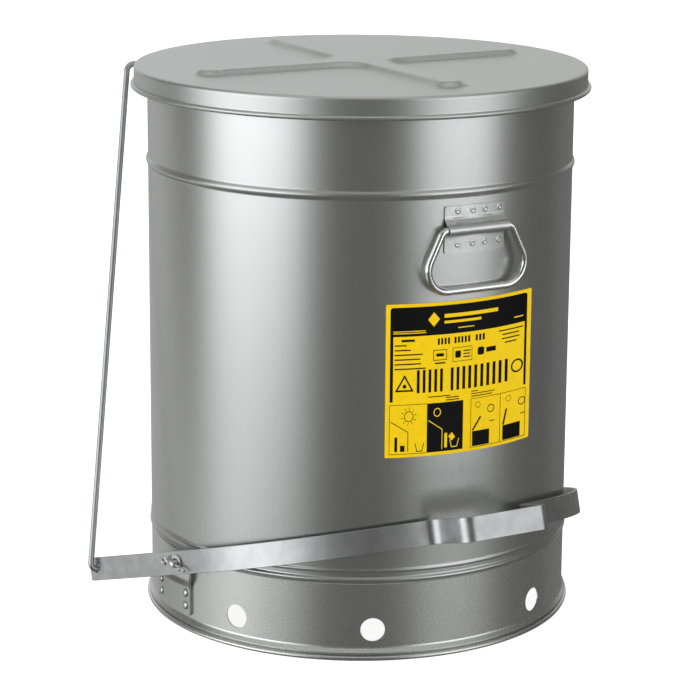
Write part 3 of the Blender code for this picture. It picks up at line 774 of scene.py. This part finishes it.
def label_ink():
    """Bars, frames and simple pictures. Plain bars stand where lettering would be."""
    w, h = LABEL_W, LABEL_H
    ink = Print()
    left, right, low = 0.027 * w, 0.973 * w, 0.79 * h
    ink.rect(left, low, right, 0.978 * h, 3.0)
    ink.rect(left, 0.365 * h, left + 3.4, low + 3.2)
    ink.rect(right - 2.6, 0.365 * h, right, low + 3.2)
    for start, count in ((0.355, 4), (0.475, 5), (0.625, 3)):
        for k in range(count):
            ink.rect(start * w + 4.3 * k, 0.725 * h, start * w + 4.3 * k + 2.5, 0.766 * h)
    ink.rect(*at(0.10, 0.755), *at(0.19, 0.770))
    ink.lines(*at(0.055, 0.728), (14, 19, 34, 31, 32, 38), 1.3, 4.9)
    for row, width in enumerate((29, 20, 21, 14)):
        middle, drop = 0.865 * w, 0.027 * row
        ink.rect(middle - width / 2, (0.757 - drop) * h, middle + width / 2, (0.765 - drop) * h)
    ink.box(*at(0.325, 0.625), *at(0.42, 0.69), 0.7)
    ink.rect(*at(0.345, 0.648), *at(0.40, 0.668))
    ink.rect(*at(0.335, 0.600), *at(0.41, 0.609))
    ink.box(*at(0.465, 0.605), *at(0.60, 0.695), 0.5)
    ink.rect(*at(0.482, 0.628), *at(0.522, 0.674), 1.5)
    ink.lines(*at(0.54, 0.666), (9, 8, 9), 1.2, 3.2)
    ink.rect(*at(0.64, 0.628), *at(0.685, 0.680), 2.0)
    ink.rect(*at(0.70, 0.640), *at(0.765, 0.672))
    for start in (0.208, 0.452, 0.662):
        for k in range(5):
            x = start * w + 7.4 * k
            ink.rect(x, 0.418 * h, x + 3.5, 0.568 * h)
    ink.stroke([at(0.068, 0.437), at(0.178, 0.437), at(0.123, 0.532)], 1.8, closed=True)
    ink.disc(*at(0.123, 0.466), 2.1)
    ink.ring(*at(0.912, 0.507), 6.4, 1.8)
    ink.rect(*at(0.29, 0.384), *at(0.45, 0.390))
    ink.lines(*at(0.42, 0.371), (16, 17), 1.0, 2.6)
    ink.lines(*at(0.60, 0.392), (8, 29, 26), 0.9, 2.7)
    # Four plain pictures side by side
    floor_line, panel_top = 0.022 * h, 0.345 * h
    ink.box(left, floor_line, 0.286 * w, panel_top, 0.5)
    ink.ring(*at(0.155, 0.268), 5.3, 0.8)
    for k in range(10):
        a = 2 * pi * k / 10 + 0.2
        ink.stroke([(0.155 * w + r * cos(a), 0.268 * h + r * sin(a)) for r in (7.2, 9.4)], 0.6)
    ink.stroke([at(0.035, 0.235), at(0.150, 0.165), at(0.150, 0.04)], 0.8)
    ink.rect(*at(0.060, 0.038), *at(0.078, 0.135), 1.0)
    ink.rect(*at(0.098, 0.038), *at(0.128, 0.078))
    ink.stroke([at(0.202, 0.085), at(0.214, 0.035), at(0.248, 0.035), at(0.262, 0.085)], 0.9)
    ink.rect(0.286 * w, floor_line, 0.545 * w, panel_top)
    panels = ((0.60, 0.803, 0.95, 0.612), (0.803, right / w, 1.35, 0.822))
    for x0, x1, tilt, foot_x in panels:
        ink.box(x0 * w, floor_line, x1 * w, panel_top, 0.5)
        x = foot_x * w
        ink.rect(x, 0.028 * h, x + 21.0, 0.128 * h)
        foot = Vector((x + 0.8, 0.138 * h))
        ink.stroke([foot, foot + Vector((cos(tilt), sin(tilt))) * 15], 2.0)
        ink.ring(x + 6.5, 0.30 * h, 3.0, 0.5)
        ink.ring(x + 22.5, 0.262 * h, 3.9, 0.9)
        ink.lines(x + 21.0, 0.175 * h, (6,), 0.9, 3.0)
    ink.make("label_ink", LABEL_BLACK, INK_LIFT)


def label_light():
    """What shows through the black in the ground's colour."""
    light = Print()
    x, y = at(0.325, 0.892)
    light.polygon([(x - 7.5, y), (x, y - 7.5), (x + 7.5, y), (x, y + 7.5)])
    light.rect(*at(0.40, 0.897), *at(0.775, 0.921))
    light.rect(*at(0.40, 0.860), *at(0.66, 0.877))
    light.lines(*at(0.045, 0.820), (39, 40), 0.9, 2.0)
    light.lines(*at(0.50, 0.822), (20,), 1.0, 2.0)
    light.lines(*at(0.885, 0.828), (11,), 1.2, 2.0)
    light.ring(*at(0.358, 0.283), 4.2, 1.0)
    light.stroke([at(0.298, 0.232), at(0.395, 0.168), at(0.395, 0.04)], 0.9)
    light.rect(*at(0.412, 0.045), *at(0.432, 0.142), 1.0)
    light.stroke([at(0.452, 0.095), at(0.464, 0.045), at(0.502, 0.045), at(0.516, 0.095)], 1.0)
    light.polygon([at(0.440, 0.118), at(0.465, 0.086), at(0.490, 0.110), at(0.465, 0.142)])
    light.make("label_light", LABEL_YELLOW, LIGHT_LIFT)


# ---------------------------------------------------------------- lid and hinge


def cross_relief(x, y):
    """Height of the pressed cross: two crossing ribs with sloping sides and filleted corners."""
    a = hypot(max(abs(x) - CROSS_REACH, 0), y)
    b = hypot(max(abs(y) - CROSS_REACH, 0), x)
    blend = max(CROSS_FILLET - abs(a - b), 0) / CROSS_FILLET
    distance = min(a, b) - blend**2 * CROSS_FILLET / 4
    return CROSS_HEIGHT * (1 - smooth((distance - CROSS_HALF_WIDTH) / CROSS_SLOPE))


def lid():
    radii = [LID_STEP * k for k in range(LID_RINGS + 1)]
    top = [(r, LID_TOP_Z) for r in radii]
    edge = [(LID_R, LID_TOP_Z), (LID_R, LID_BEAD_Z + 5.8)]
    edge = rounded([top[-1], *edge], {1: 3.2}, 8)[1:]
    bead = arc(*LID_BEAD_CENTRE, LID_BEAD_R, 112, -124, 14)
    inner_r, under_z = LID_R - WALL, LID_TOP_Z - WALL
    inner = [(inner_r, LID_BEAD_Z + 3), (inner_r, under_z), (radii[-1], under_z)]
    inner = rounded(inner, {1: 2.2}, 6)
    under = [(r, under_z) for r in reversed(radii[:-1])]
    bm = bmesh.new()
    edge = supported([*edge, bead[0]])[:-3]
    lathe(bm, top + edge + bead + inner + under, relief=cross_relief)
    cover = add_mesh("lid_cover", bm, LID_PAINT, "lid", "lid", sharp=50)
    y, z = ROD_HEAD[1:]
    outline = []
    for centre, start in ((y + SLOT_LENGTH, -90), (y, 90)):
        outline += arc(centre, z, SLOT_R, start, start + 180, 16)
    holes = bmesh.new()
    grid_solid(holes, [[(x, *point) for point in outline] for x in (-180, -120)])
    cut(cover, holes)


def knuckle(start, end):
    """Points of the rolled sheet round the hinge pin, from one angle to the other."""
    return [(y, z, 0) for y, z in arc(HINGE_Y, HINGE_Z, KNUCKLE_R, start, end, 32)]


def smooth_path(corners, bends, steps=6):
    """Rounds the bends of a (y, z, hug) sheet path."""
    return [tuple(p) for p in fillet(corners, bends, steps)]


def rivet(name, angle, r, z, grip, body, stands_for):
    """A round head on the sheet at an angle from the front, and a tail behind the grip."""
    low = -grip - 2 * GAP
    radius, height = RIVET_HEAD
    dome = arc(0, GAP, radius, 90, 0, 8, height)
    dome[0] = (0, dome[0][1])
    shank = [(RIVET_R, GAP), (RIVET_R, low), (RIVET_TAIL_R, low)]
    tail = [(RIVET_TAIL_R, low - 0.9), (RIVET_TAIL_R - 0.6, low - 1.4), (0, low - 1.5)]
    bm = bmesh.new()
    lathe(bm, dome + shank + tail, 36, radial(angle, r, z))
    add_mesh(name, bm, RIVET_ZINC, body, stands_for)


def hinge():
    wall = BODY_R + GAP + LEAF / 2
    arm_y = HINGE_Y + KNUCKLE_R
    flange = [(wall, z, 1) for z in HINGE_FLANGE_Z]
    flange = smooth_path([*flange, (arm_y, HINGE_ARM_Z, 0.1), (arm_y, HINGE_Z, 0)], [0, 5, 6])
    bm = bmesh.new()
    wrapped_sheet(bm, flange[:-1] + knuckle(0, 285), LEAF, HINGE_HALF, 44, BODY_R)
    bracket = add_mesh("hinge_bracket", bm, ZINC, "can", "body_hinge_bracket",
                       bevel=0.3)
    notch = bmesh.new()
    half = LID_LEAF_HALF + GAP
    deep, foot, top = NOTCH
    corners = ((HINGE_Y - deep, foot), (HINGE_Y + deep, foot))
    corners += ((HINGE_Y + deep, top), (HINGE_Y - deep, top))
    grid_solid(notch, [[(x, *corner) for corner in corners] for x in (-half, half)])
    cut(bracket, notch)

    skirt, top = LID_R + GAP + LEAF / 2, HINGE_Z + KNUCKLE_R
    leaf = [(skirt, z, 1) for z in LEAF_Z]
    leaf = smooth_path([*leaf, (LEAF_ARM_Y, top, 0), (HINGE_Y, top, 0)], [0, 2.5, 3])
    bm = bmesh.new()
    wrapped_sheet(bm, leaf[:-1] + knuckle(90, -190), LEAF, LID_LEAF_HALF, 24, LID_R)
    add_mesh("hinge_leaf", bm, ZINC, "lid", "lid_hinge_leaf", bevel=0.3)

    half, head = HINGE_HALF + GAP, HINGE_HALF + HINGE_PIN_HEAD
    r = HINGE_PIN_HEAD_R
    upper = [(PIN_R, half), (r, half), (r, head - 0.9), (r - 0.8, head), (0, head)]
    profile = [(radius, -z) for radius, z in reversed(upper)] + upper
    bm = bmesh.new()
    lathe(bm, profile, 36, along_x(0, HINGE_Y, HINGE_Z))
    add_mesh("hinge_rod", bm, ZINC, "can", "hinge_pin")

    grip = LEAF + GAP + WALL
    for name, side in (("left", 1), ("right", -1)):
        rivet(f"bracket_rivet_{name}", 180 + side * HINGE_RIVET_ANGLE, BODY_R + GAP + LEAF,
              HINGE_RIVET_Z, grip, "can", f"body_hinge_rivet_{name}")
        rivet(f"leaf_rivet_{name}", 180 + side * LEAF_RIVET_ANGLE, LID_R + GAP + LEAF,
              LEAF_RIVET_Z, grip, "lid", f"lid_hinge_rivet_{name}")


# ---------------------------------------------------------------- handles


def handle(name, side):
    """side is -1 at the front and 1 at the back."""
    wall = BODY_R + GAP + CLIP_T / 2
    roll = BAIL_R + GAP + 0.1 + CLIP_T / 2
    middle = HANDLE_X[side]
    front = [(y, z, 0) for y, z in arc(BAIL_Y, BAIL_Z, roll, *CLIP_ROLL, 26)]
    first, last = front[0], front[-1]
    foot, top = CLIP_Z
    shoulder = [(wall, top, 1), (wall, 470.4, 1), (wall, 468.4, 1), (wall + 0.9, 466.0, 0.95)]
    upper = smooth_path([*shoulder, (wall + 4.3, 461.4, 0.5), first], [0, 0.8, 0.6, 0.8], 4)
    lower = smooth_path([last, (wall, 449.4, 0.9), (wall, 446, 1), (wall, foot, 1)], [1.2, 0], 4)
    bm = bmesh.new()
    path = upper + front[1:-1] + lower
    wrapped_sheet(bm, path, CLIP_T, CLIP_HALF, 36, BODY_R, side, middle, CLIP_CORNER)
    add_mesh(f"{name}_clip", bm, PART_PAINT, "can", f"{name}_handle_clip",
             bevel=0.35)

    bm = bmesh.new()
    crater = [(0, 0.10), (1.0, 0.12), (1.7, 0.36), (2.2, 0.40), (2.8, 0.22), (3.3, 0.0), (0, -0.3)]
    base = 0 if side < 0 else 180
    for z in WELD_Z:
        for x in WELD_X:
            angle = base - side * degrees(asin((middle + x) / BODY_R))
            lathe(bm, crater, 20, radial(angle, BODY_R + GAP + CLIP_T, z))
    add_mesh(f"{name}_clip_welds", bm, PART_PAINT, "can")

    corners = [(0, BAIL_Z), (BAIL_TOP_HALF, BAIL_Z), (BAIL_BOTTOM_HALF, BAIL_BOTTOM_Z)]
    corners += [(-x, z) for x, z in reversed(corners)]
    loop = fillet([(middle + x, side * BAIL_Y, z) for x, z in corners], BAIL_BENDS, 16)[:-1]
    tube(f"{name}_handle", loop, BAIL_R, BAIL_WIRE, f"{name}_bail", f"{name}_bail",
         cyclic=True)


# ---------------------------------------------------------------- lever, brackets and rod


def tilted(x, u, v):
    """A point of the lever: u runs back along its slope from the pivot and v up across it."""
    a = radians(LEVER_SLOPE)
    return Vector((x, PIVOT_Y + u * cos(a) + v * sin(a), PIVOT_Z - u * sin(a) + v * cos(a)))


def strap_x(side, y):
    """X of the strap's middle line along the straight arm that leaves the round part."""
    out = LEVER_R * cos(ARM_ANGLE) + (y + LEVER_R * sin(ARM_ANGLE)) * tan(ARM_ANGLE)
    return side * out + LEVER_CENTRE[side]


def pivot_axis(side):
    """The pin's own line: square to the strap's arm, from the strap's middle outwards."""
    out = Vector((side * cos(ARM_ANGLE), -sin(ARM_ANGLE), 0))
    return pointing(Vector((strap_x(side, PIVOT_Y), PIVOT_Y, PIVOT_Z)), out)


def strap_axis(side):
    """The line through the strap's own hole, square to the sloping strap."""
    turn = atan(tan(ARM_ANGLE) * cos(radians(LEVER_SLOPE)))
    slope = Matrix.Rotation(radians(-LEVER_SLOPE), 3, "X")
    out = slope @ Vector((side * cos(turn), -sin(turn), 0))
    return pointing(Vector((strap_x(side, PIVOT_Y), PIVOT_Y, PIVOT_Z)), out)


def lever_path():
    """The strap's middle line in plan, from the rod's end round the front to the right pivot."""
    halves = []
    for side, root_x in zip((-1, 1), PEDAL_ROOT_X):
        centre = LEVER_CENTRE[side]
        root = asin(abs(root_x - centre) / LEVER_R)
        start, end = root + radians(PEDAL_ROOT_CLEAR), pi / 2 - ARM_ANGLE
        points = [(root_x, -LEVER_R * cos(root))]
        for k in range(ARC_STEPS + 1):
            a = start + (end - start) * k / ARC_STEPS
            points.append((centre + side * LEVER_R * sin(a), -LEVER_R * cos(a)))
        halves.append(points)
    left, right = halves
    corners = [(-LEVER_END[0], LEVER_END[1]), *reversed(left)]
    corners += [(x, PEDAL_Y) for x in PEDAL_X]
    corners += [*right, (strap_x(1, LEVER_STUB_Y), LEVER_STUB_Y)]
    bends = [0] * (ARC_STEPS + 1) + PEDAL_BENDS + [0] * (ARC_STEPS + 1)
    tilt = cos(radians(LEVER_SLOPE))
    return fillet([(x, (y - PIVOT_Y) / tilt) for x, y in corners], bends, 12)


def lever():
    path = lever_path()
    path.insert(1, path[0] + (path[1] - path[0]).normalized() * END_CHAMFER)
    path.insert(-1, path[-1] + (path[-2] - path[-1]).normalized() * END_CHAMFER)
    rows = []
    for i, point in enumerate(path):
        before, after = path[max(i - 1, 0)], path[min(i + 1, len(path) - 1)]
        along = (after - before).normalized()
        across = Vector((-along.y, along.x)) * LEVER_T / 2
        high = LEVER_H / 2
        if i in (0, len(path) - 1):
            high -= END_CHAMFER
        section = ((-1, -1), (1, -1), (1, 1), (-1, 1))
        rows.append([tilted(*(point + across * s), high * h) for s, h in section])
    bm = bmesh.new()
    grid_solid(bm, rows)
    # The strap wears the darkened paint: its darkness is painted shade.
    strap = add_mesh("lever_strap", bm, SHADE_DARKENED_STRAP_PAINT, "foot_lever", "foot_lever",
                     bevel=0.5)
    holes = bmesh.new()
    for side in (-1, 1):
        disc(holes, strap_axis(side), LOOSE_HOLE_R, -8, 8)
    disc(holes, along_x(*ROD_FOOT), ROD_HOLE_R, -4, 22)
    cut(strap, holes)


def pivot_bracket(name, side):
    """A riveted plate that hugs the base ring below and stands out above to carry the pin."""
    bm = bmesh.new()
    sheets = []
    columns = 20
    foot, top = BRACKET_Z
    foot_corner, top_corner = BRACKET_CORNERS
    # Closer together at the rounded corners
    levels = [foot + 0.5 * k for k in range(8)] + [foot + 4 + 1.75 * k for k in range(34)]
    levels += [top - 10 + k for k in range(11)]
    for z in levels:
        rise = smooth((z - BRACKET_RISE[0]) / BRACKET_RISE[1])
        low, high = (a * (1 - rise) + b * rise for a, b in zip(BRACKET_Y, TAB_Y))
        corners = ((top_corner, z - top + top_corner), (foot_corner, foot + foot_corner - z))
        for radius, past in corners:
            corner = radius - sqrt(max(0.0, radius**2 - max(0.0, past) ** 2))
            low, high = low + corner, high - corner
        inner, outer = [], []
        for c in range(columns + 1):
            y = low + (high - low) * c / columns
            for half, row in ((-BRACKET_T / 2, inner), (BRACKET_T / 2, outer)):
                r = BRACKET_R + half
                tab = abs(strap_x(side, y)) - TAB_INSET + half / cos(ARM_ANGLE)
                x = sqrt(r * r - y * y) * (1 - rise) + tab * rise
                row.append((side * x, y, z))
        sheets.append(outer + inner[::-1])
    grid_solid(bm, sheets)
    node = f"{name}_pivot_bracket"
    bracket = add_mesh(f"{name}_bracket", bm, PART_PAINT, "can", node, bevel=0.35)
    holes = bmesh.new()
    disc(holes, pivot_axis(side), PIVOT_HOLE_R, -14, -2)
    cut(bracket, holes)
    for place, (angle, z) in zip(RIVET_NAMES, BRACKET_RIVETS):
        rivet(f"{name}_bracket_rivet_{place}", side * angle, BRACKET_R + BRACKET_T / 2, z,
              BRACKET_T + GAP + WALL, "can", f"{name}_rivet_{place}")


def pivot_hardware(name, side):
    """Pin, washers and cotter, laid out along the pin's own line from the strap's middle."""
    turn = pivot_axis(side)
    tab_in = -TAB_INSET * cos(ARM_ANGLE) - BRACKET_T / 2
    end = PIVOT_PIN_END
    lean = Matrix.Rotation(-side * ARM_ANGLE, 4, "Z")
    lean @= Matrix.Rotation(radians(COTTER_LEAN), 4, "X")
    middle = Matrix.Translation(turn @ Vector((0, 0, COTTER_AT))) @ lean

    head = [(0, tab_in - 3.2), (5.4, tab_in - 3.2), (6.2, tab_in - 2.4), (6.2, tab_in - GAP)]
    shank = [(PIVOT_PIN_R, tab_in - GAP), (PIVOT_PIN_R, end - 0.9), (PIVOT_PIN_R - 0.3, end - 0.3)]
    bm = bmesh.new()
    lathe(bm, head + shank + [(PIVOT_PIN_R - 0.9, end), (0, end)], 48, turn)
    pin = add_mesh(f"{name}_pin", bm, ZINC, "can", f"{name}_pivot_pin")
    hole = bmesh.new()
    disc(hole, middle @ Matrix.Rotation(pi / 2, 4, "X"), COTTER_HOLE_R, -8, 8, 24)
    cut(pin, hole)

    half, edge = LEVER_T / 2 + GAP, WASHER_EDGE
    for kind, radius, thickness in WASHERS:
        low, high = (-half - thickness, -half) if kind == "inner" else (half, half + thickness)
        profile = [(LOOSE_HOLE_R, low + edge), (LOOSE_HOLE_R + edge, low), (radius - edge, low)]
        profile += [(radius, low + edge), (radius, high - edge), (radius - edge, high)]
        profile += [(LOOSE_HOLE_R + edge, high), (LOOSE_HOLE_R, high - edge)]
        bm = bmesh.new()
        lathe(bm, profile, 48, strap_axis(side))
        add_mesh(f"{name}_{kind}_ring", bm, ZINC, "foot_lever", f"{name}_{kind}_washer")

    eye = arc(0, COTTER_EYE_AT + COTTER_EYE_R, COTTER_EYE_R, -142, -425, 24)
    loop = [(0, y, z) for z, y in eye]
    legs = [(0, 7.6, 0), (0, -9.0, 0), (side * 0.6, -14.0, -0.8), (side * 1.0, -19.0, -2.0)]
    corners = [middle @ Vector(point) for point in loop + legs]
    points = fillet(corners, [0] * len(loop) + [1, 3, 3], 6)
    tube(f"{name}_split_pin", points, COTTER_R, ZINC, "can", f"{name}_cotter_pin",
         sides=6)


def rod():
    foot, head = ROD_FOOT[1:], ROD_HEAD[1:]
    corners = [(ROD_FOOT[0] + ROD_HOOK, *foot), ROD_FOOT, ROD_HEAD, (ROD_TIP_X, *head)]
    points = fillet(corners, (7, 9), 16)
    tube("rod_wire", points, ROD_R, ROD_WIRE, "lift_rod", "lift_rod")
    inner = ROD_R + 0.1
    profile = [(inner, 0), (6.2, 0), (6.9, 0.4), (7.0, 0.9), (6.2, 1.5), (4.6, 2.0), (inner, 2.4)]
    bm = bmesh.new()
    lathe(bm, profile, 48, along_x(ROD_CAP_X, *foot))
    add_mesh("rod_cap", bm, ZINC, "lift_rod", "rod_retainer")


# ---------------------------------------------------------------- stage, light and camera


def pale(name, strength):
    """A plain white that hardly shades."""
    made = Surface(name)
    mottle = made.noise(3, 2.0)
    base = made.mix(made.spread(mottle, 0, 1), (0.86, 0.86, 0.86), (0.88, 0.88, 0.88))
    made.set("Base Color", base)
    made.set("Emission Color", base)
    made.set("Emission Strength", strength)
    made.set("Roughness", 0.9)
    return made.material


def stage():
    """A pale floor, and a round backdrop that only the camera sees."""
    floor = bmesh.new()
    bmesh.ops.create_grid(floor, x_segments=8, y_segments=8, size=FLOOR_HALF)
    wall = bmesh.new()
    bmesh.ops.create_cone(
        wall, segments=64, radius1=BACKDROP_R, radius2=BACKDROP_R, depth=BACKDROP_DEPTH
    )
    for name, bm, strength in (("floor", floor, 1.0), ("backdrop", wall, 1.3)):
        mesh = bpy.data.meshes.new(name)
        bm.to_mesh(mesh)
        bm.free()
        mesh.materials.append(pale(f"{name}_pale", strength))
        obj = linked(name, mesh)
        obj.visible_glossy = False
        if name == "backdrop":
            obj.visible_diffuse = obj.visible_shadow = obj.visible_transmission = False


# Softboxes round the can: azimuth from the camera (positive to its right), inner and outer
# half-widths in degrees, the heights they fade in over (sine of elevation) and strength.
PANELS = (
    (-58, 12, 38, -0.27, -0.08, 3.5),
    (-58, 12, 38, -0.31, -0.42, 0.3),
    (-88, 6, 44, -0.16, -0.34, 0.5),
    (53, 8, 30, -0.23, -0.11, 2.7),
    (57, 8, 30, -0.34, -0.42, 0.4),
    (59, 14, 40, 0.0, 0.2, 0.5),
    (-150, 14, 46, -0.6, -0.2, 0.44),
    (150, 8, 30, -0.6, -0.2, 0.08),
    (180, 20, 50, -0.1, 0.12, 1.45),
)
# What every panel fades by: from and to a height, the share below it and above it
PANEL_FADES = ((-0.75, -0.5, 0, 1), (0.45, 0.65, 1, 0.1), (-0.1, 0.1, 1, 0.4))
AMBIENT = 0.106
OVERHEAD = 0.5
OVERHEAD_FROM = (0.5, 0.95)
WARM = (1.0, 0.985, 0.93)
COOL = (0.965, 0.985, 1.0)


def world():
    studio = bpy.data.worlds.new("studio")
    made = Nodes(studio)
    made.tree.nodes.clear()
    calc = made.calc
    split = made.new("SeparateXYZ")
    made.link(made.new("TexCoord").outputs["Generated"], split.inputs[0])
    x, y, z = split.outputs

    def ramp(value, start, end, low, high):
        return made.spread(value, low, high, start, end, "SMOOTHSTEP")

    def towards(a, b):
        return calc("ADD", calc("MULTIPLY", x, a), calc("MULTIPLY", y, b))

    flat = calc("SQRT", calc("ADD", calc("MULTIPLY", x, x), calc("MULTIPLY", y, y)))
    flat = calc("MAXIMUM", flat, 0.001)
    near = Vector((-CAMERA_AHEAD[0], -CAMERA_AHEAD[1]))
    total = calc("ADD", ramp(z, *OVERHEAD_FROM, 0, OVERHEAD), AMBIENT)
    for azimuth, inner, outer, low, high, strength in PANELS:
        a = radians(azimuth)
        side = Vector((near.x * cos(a) - near.y * sin(a), near.x * sin(a) + near.y * cos(a)))
        side.normalize()
        aim = calc("DIVIDE", towards(side.x, side.y), flat)
        panel = ramp(aim, cos(radians(outer)), cos(radians(inner)), 0, strength)
        for fade in ((low, high, 0, 1), *PANEL_FADES):
            panel = calc("MULTIPLY", panel, ramp(z, *fade))
        total = calc("ADD", total, panel)
    light = made.new("Background")
    made.link(made.mix(calc("MINIMUM", total, 1.0), WARM, COOL), light.inputs["Color"])
    made.link(total, light.inputs["Strength"])
    made.link(light.outputs[0], made.new("OutputWorld").inputs[0])
    bpy.context.scene.world = studio


def camera():
    data = bpy.data.cameras.new("camera")
    data.lens = CAMERA_LENS
    data.sensor_width = 36
    data.shift_y = CAMERA_SHIFT_Y
    data.clip_end = 60
    obj = linked("camera", data)
    obj.location = Vector(CAMERA_PLACE) + AXIS
    turn = Vector(CAMERA_AHEAD).to_track_quat("-Z", "Y").to_matrix()
    roll = Matrix.Rotation(radians(CAMERA_ROLL), 3, "Z")
    obj.rotation_euler = (turn @ roll).to_euler()
    bpy.context.scene.camera = obj


def colour():
    view = bpy.context.scene.view_settings
    view.view_transform = "Standard"
    view.look = "None"
    view.exposure = 0.0
    view.gamma = 1.0


can_shell()
bottom_pan()
foot_ring()
label_ground()
label_ink()
label_light()
lid()
hinge()
for handle_name, handle_side in (("front", -1), ("rear", 1)):
    handle(handle_name, handle_side)
lever()
for side_name, side_sign in (("left", -1), ("right", 1)):
    pivot_bracket(side_name, side_sign)
    pivot_hardware(side_name, side_sign)
rod()
stage()
world()
camera()
colour()
